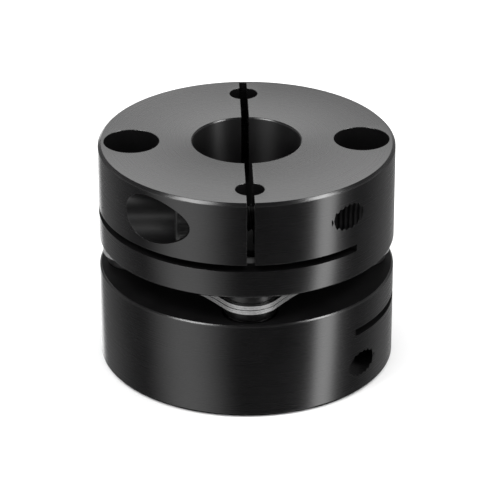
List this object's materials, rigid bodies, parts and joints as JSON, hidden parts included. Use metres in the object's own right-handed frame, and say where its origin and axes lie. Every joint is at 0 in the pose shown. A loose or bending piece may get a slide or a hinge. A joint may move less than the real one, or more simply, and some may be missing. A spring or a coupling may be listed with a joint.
{
  "type": "flexible disc shaft coupling",
  "caption": "Clamping shaft coupling: black aluminium hubs joined end to end by a flexing stainless disc pack, each with a split bore and a clamp screw.",
  "frame": {"origin": "centre of the lower hub's outer face, on the shaft axis", "axes": "+Z along the shafts from the lower hub to the upper hub, -Y towards the upper hub's clamp slit, -X towards its screw head"},
  "size_m": [0.044, 0.044, 0.0345],
  "materials": {
    "anodised": "satin black anodised",
    "stainless": "rolled stainless",
    "black_steel": "black oxide"
  },
  "bodies": {
    "lower_half": {"lower_hub": "anodised", "disc_screw_left": "black_steel", "disc_screw_right": "black_steel", "spacer_collar_left": "anodised", "spacer_collar_right": "anodised", "head_washer_left": "black_steel", "head_washer_right": "black_steel"},
    "pack_axial": {"disc_plate_1": "stainless"},
    "pack_tilt": {"disc_plate_2": "stainless", "disc_plate_3": "stainless", "disc_plate_4": "stainless"},
    "upper_half": {"upper_hub": "anodised", "disc_screw_front": "black_steel", "disc_screw_back": "black_steel", "spacer_collar_front": "anodised", "spacer_collar_back": "anodised", "head_washer_front": "black_steel", "head_washer_back": "black_steel"},
    "upper_screw": {"upper_clamp_screw": "black_steel"},
    "lower_screw": {"lower_clamp_screw": "black_steel"}
  },
  "joints": [
    {"name": "axial_flex", "type": "slide", "parent": "lower_half", "child": "pack_axial", "axis": [0, 0, 1], "range_m": [-0.0002, 0.0002], "stiffness_N_per_m": 5000, "deforming": ["disc_plate_1"]},
    {"name": "tilt_about_x", "type": "hinge", "parent": "pack_axial", "child": "pack_tilt", "pos_m": [0, 0, 0.01725], "axis": [1, 0, 0], "range_deg": [-1, 1], "stiffness_Nm_per_rad": 1.5, "deforming": ["disc_plate_2", "disc_plate_3", "disc_plate_4"]},
    {"name": "tilt_about_y", "type": "hinge", "parent": "pack_tilt", "child": "upper_half", "pos_m": [0, 0, 0.01725], "axis": [0, 1, 0], "range_deg": [-1, 1], "stiffness_Nm_per_rad": 1.5},
    {"name": "upper_clamp_turn", "type": "hinge", "parent": "upper_half", "child": "upper_screw", "pos_m": [0, -0.0166, 0.0298], "axis": [-1, 0, 0], "range_deg": [0, 450]},
    {"name": "lower_clamp_turn", "type": "hinge", "parent": "lower_half", "child": "lower_screw", "pos_m": [0.0166, 0, 0.0047], "axis": [0, 1, 0], "range_deg": [0, 450]}
  ]
}
